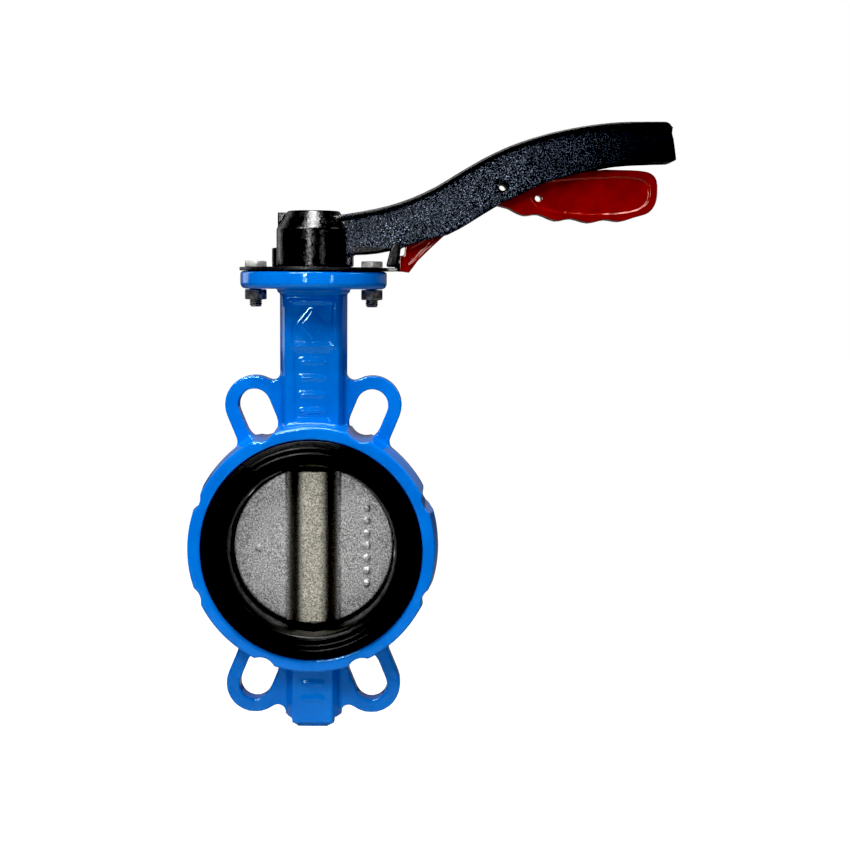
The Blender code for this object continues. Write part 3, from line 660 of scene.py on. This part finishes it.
def disc_casting(material):
    """Disc with a full-height hub, its marks replaced by a row of round pips."""
    piece = welded_copy("disc", "disc_casting")
    pip_column, pip_radius = 34.0 * MM, 1.7 * MM
    places = [(pip_column, (24.0 - 8.0 * index) * MM) for index in range(7)]
    places.append((-pip_column, -2.0 * MM))
    marks = []
    for sign in (-1.0, 1.0):
        low, high = sorted((sign * (DISC_FACE - MM), sign * (DISC_FACE + 1.1 * MM)))
        for place in places:
            pip = arc(place, pip_radius, 0.0, 345.0, 23)
            marks.append(prism("disc_pip", pip, low, high))
    merge(piece, *marks)
    cast_skin(piece, 0.55 * MM, 4, waviness=0.15 * MM, wave_size=6.0 * MM, grain=0.14 * MM,
              grain_size=1.1 * MM)
    dress(piece, material, ROTOR, "disc")


def swell(piece, chosen, steps):
    """Push the chosen faces out in small steps of (inward, outward), into a rounded bead."""
    shape = bmesh.new()
    shape.from_mesh(piece.data)
    faces = [face for face in shape.faces if chosen(face)]
    for inward, outward in steps:
        bmesh.ops.inset_region(shape, faces=faces, thickness=inward, depth=outward, use_even_offset=True)
    shape.to_mesh(piece.data)
    shape.free()


def lever_casting(arm_material, hub_material, smooth_material):
    """Lever with a rounded lip; its hub is finer than its arm, and its lip and tab are smooth."""
    piece = welded_copy("lever", "lever_casting")

    def lip_face(face):
        return abs(abs(face.calc_center_median().y) - LIP_HALF) < 0.02 * MM and abs(face.normal.y) > 0.9

    swell(piece, lip_face, ((0.35 * MM, 0.45 * MM), (0.55 * MM, 0.25 * MM)))
    cast_skin(piece, 0.55 * MM, 2, waviness=0.2 * MM, wave_size=12.0 * MM, grain=0.10 * MM,
              grain_size=1.5 * MM)
    dress(piece, arm_material, ROTOR, "lever")
    piece.data.materials.append(hub_material)
    piece.data.materials.append(smooth_material)
    arm_start, foot_top, tab_top = 20.3 * MM, 184.0 * MM, 188.0 * MM
    for face in piece.data.polygons:
        x, y, z = face.center
        on_arm = x > arm_start and z > foot_top and abs(face.normal.y) > 0.8
        if math.hypot(x, y) < HUB_REACH and not on_arm:
            face.material_index = 1
        elif x > HUB_REACH and (z < tab_top or abs(y) > LEVER_SIDE + 0.25 * MM):
            face.material_index = 2


def trigger_casting(material):
    piece = welded_copy("trigger", "trigger_casting")
    cast_skin(piece, 0.5 * MM, 4, waviness=0.10 * MM, wave_size=8.0 * MM)
    dress(piece, material, TRIGGER, "trigger")


def pressed_plate(material):
    plate = soften_edges(welded_copy("notch_plate", "pressed_plate"), 0.3 * MM)
    dress(plate, material, BODY, "notch_plate")


def carried_over(steel, rubber, polymer):
    """Internal pieces whose CAD shape is already right: only their finish changes."""
    finishes = {
        "upper_stem": steel, "lower_stem": steel, "thrust_washer": steel, "retaining_ring": steel,
        "trigger_spring": steel, "lower_neck_bush": polymer, "upper_neck_bush": polymer,
        "bottom_bush": polymer, "lower_o_ring": rubber, "upper_o_ring": rubber, "plug_seal": rubber,
    }
    for name, material in finishes.items():
        nodes[name].data.materials.clear()
        nodes[name].data.materials.append(material)


# ---------------------------------------------------------------- stage

def stage_floor():
    shape = bmesh.new()
    bmesh.ops.create_grid(shape, x_segments=1, y_segments=1, size=12.0)
    floor = from_bmesh("studio_floor", shape)
    floor.location.z = -0.45
    material = bpy.data.materials.new("white_floor")
    material.use_nodes = True
    surface = material.node_tree.nodes["Principled BSDF"]
    surface.inputs["Base Color"].default_value = (0.4, 0.4, 0.4, 1.0)
    surface.inputs["Roughness"].default_value = 0.9
    surface.inputs["Emission Color"].default_value = (1.0, 1.0, 1.0, 1.0)
    path = material.node_tree.nodes.new("ShaderNodeLightPath")
    material.node_tree.links.new(path.outputs["Is Camera Ray"], surface.inputs["Emission Strength"])
    floor.data.materials.append(material)


def area_light(name, azimuth, elevation, distance, width, height, power):
    """Softbox aimed at the valve. Azimuth 0 is in front, on -Y, and turns towards +X."""
    target = Vector((0.02, 0.0, 0.10))
    a, e = math.radians(azimuth), math.radians(elevation)
    offset = Vector((math.sin(a) * math.cos(e), -math.cos(a) * math.cos(e), math.sin(e))) * distance
    light = bpy.data.lights.new(name, "AREA")
    light.shape = "RECTANGLE"
    light.size = width
    light.size_y = height
    light.energy = power
    lamp = bpy.data.objects.new(name, light)
    lamp.location = target + offset
    lamp.rotation_euler = (-offset).to_track_quat("-Z", "Y").to_euler()
    bpy.context.scene.collection.objects.link(lamp)


def studio_world():
    """White to the eye; as light, bright behind and beside the valve and dimmer in front."""
    world = bpy.data.worlds.new("studio")
    bpy.context.scene.world = world
    world.use_nodes = True
    tree = world.node_tree
    background = tree.nodes["Background"]
    place = tree.nodes.new("ShaderNodeTexCoord")
    split = tree.nodes.new("ShaderNodeSeparateXYZ")
    tree.links.new(place.outputs["Generated"], split.inputs["Vector"])
    depth = tree.nodes.new("ShaderNodeMapRange")
    tree.links.new(split.outputs["Y"], depth.inputs["Value"])
    for name, value in (("From Min", 0.1), ("From Max", 0.7), ("To Min", 0.025), ("To Max", 0.2)):
        depth.inputs[name].default_value = value
    path = tree.nodes.new("ShaderNodeLightPath")
    strength = tree.nodes.new("ShaderNodeMath")
    strength.operation = "MAXIMUM"
    tree.links.new(depth.outputs["Result"], strength.inputs[0])
    tree.links.new(path.outputs["Is Camera Ray"], strength.inputs[1])
    tree.links.new(strength.outputs["Value"], background.inputs["Strength"])
    background.inputs["Color"].default_value = (1.0, 1.0, 1.0, 1.0)


def studio_camera():
    """Camera where the photographer stood: nearly in front, a little above the bore."""
    data = bpy.data.cameras.new("camera")
    data.sensor_width = 36.0
    data.lens = 63.15
    data.clip_start = 0.01
    camera = bpy.data.objects.new("camera", data)
    place = Matrix.Translation((0.0703, -0.939, 0.1648))
    pitch = Matrix.Rotation(math.radians(90.0 - 5.36), 4, "X")
    roll = Matrix.Rotation(math.radians(0.38), 4, "Z")
    camera.matrix_world = place @ pitch @ roll
    bpy.context.scene.collection.objects.link(camera)
    bpy.context.scene.camera = camera


def studio():
    """Plain white studio; the curve's black level deepens the darkest tones, as in the photo."""
    view = bpy.context.scene.view_settings
    view.view_transform = "Standard"
    view.use_curve_mapping = True
    view.curve_mapping.black_level = (0.012, 0.012, 0.012)
    view.curve_mapping.update()
    stage_floor()
    studio_world()
    studio_camera()
    area_light("front_lamp", -9.5, 8.0, 2.2, 0.12, 0.42, 8.0)
    area_light("side_strip", 31.0, 3.4, 2.2, 0.09, 0.24, 1.0)
    area_light("key_softbox", -26.0, 42.0, 1.9, 0.7, 0.6, 26.0)
    area_light("top_softbox", -2.0, 68.0, 1.6, 0.6, 0.5, 26.0)
    area_light("left_softbox", -128.0, 15.0, 2.2, 0.8, 1.4, 4.0)
    area_light("right_softbox", 80.0, 35.0, 2.2, 0.8, 0.8, 6.0)


# ---------------------------------------------------------------- valve

studio()

rubber = seat_rubber()
steel = ground_steel()
zinc = zinc_plate()

valve_casting(blue_epoxy())
seat(rubber)
disc_casting(disc_metal())
smooth_black = lip_black()
lever_casting(lever_black(), hub_black(), smooth_black)
trigger_casting(trigger_red())
pressed_plate(plate_black())
flange_fasteners(zinc)
lever_fasteners(zinc, steel, smooth_black)
carried_over(steel, rubber, moulded_polymer())
